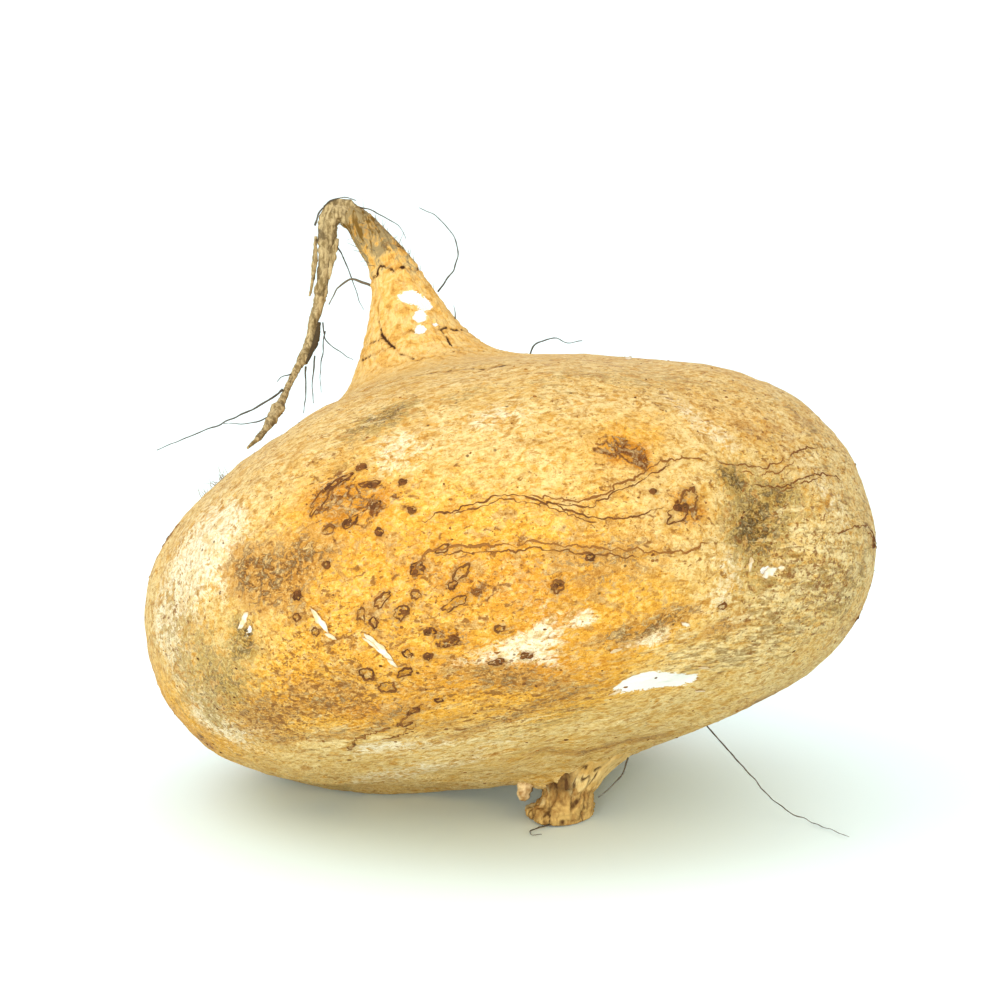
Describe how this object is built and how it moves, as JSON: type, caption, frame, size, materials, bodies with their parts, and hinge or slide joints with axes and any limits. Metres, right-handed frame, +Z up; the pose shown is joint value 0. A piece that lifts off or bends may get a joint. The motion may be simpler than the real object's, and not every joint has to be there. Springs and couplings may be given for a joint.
{
  "type": "jicama root",
  "caption": "Whole raw jicama, a squat swollen root with thin tan skin, a tapering neck that ends in a dried tail, fine rootlets and a short cut stem stub under it.",
  "frame": {"origin": "middle of the bounding box's footprint, on the surface that the root lies on", "axes": "+X to the right along the longest extent, seen from the front; -Y is the front; +Z is up"},
  "size_m": [0.1292, 0.1218, 0.1071],
  "materials": {
    "skin": "matte, papery skin",
    "stub": "rough bark",
    "bud": "matte",
    "tail": "rough, fibrous",
    "hair": "dry, fibrous"
  },
  "bodies": {
    "root": {"tuber": "skin", "stem_stub": "stub", "shoot_bud": "bud", "tail_root": "tail", "tail_inner_strand": "tail", "tail_outer_strand": "tail", "tail_dark_strand": "tail", "rootlet_bridge": "hair", "rootlet_inner": "hair", "rootlet_loop": "hair", "rootlet_left_long": "hair", "rootlet_left_fine": "hair", "rootlet_left_short": "hair", "rootlet_hanging_a": "hair", "rootlet_hanging_b": "hair", "rootlet_hanging_c": "hair", "rootlet_neck_top": "hair", "rootlet_curl": "hair", "rootlet_over_bend": "hair", "rootlet_behind_top": "hair", "rootlet_under_right": "hair", "rootlet_under_stub": "hair", "rootlet_right_long": "hair"}
  },
  "joints": []
}
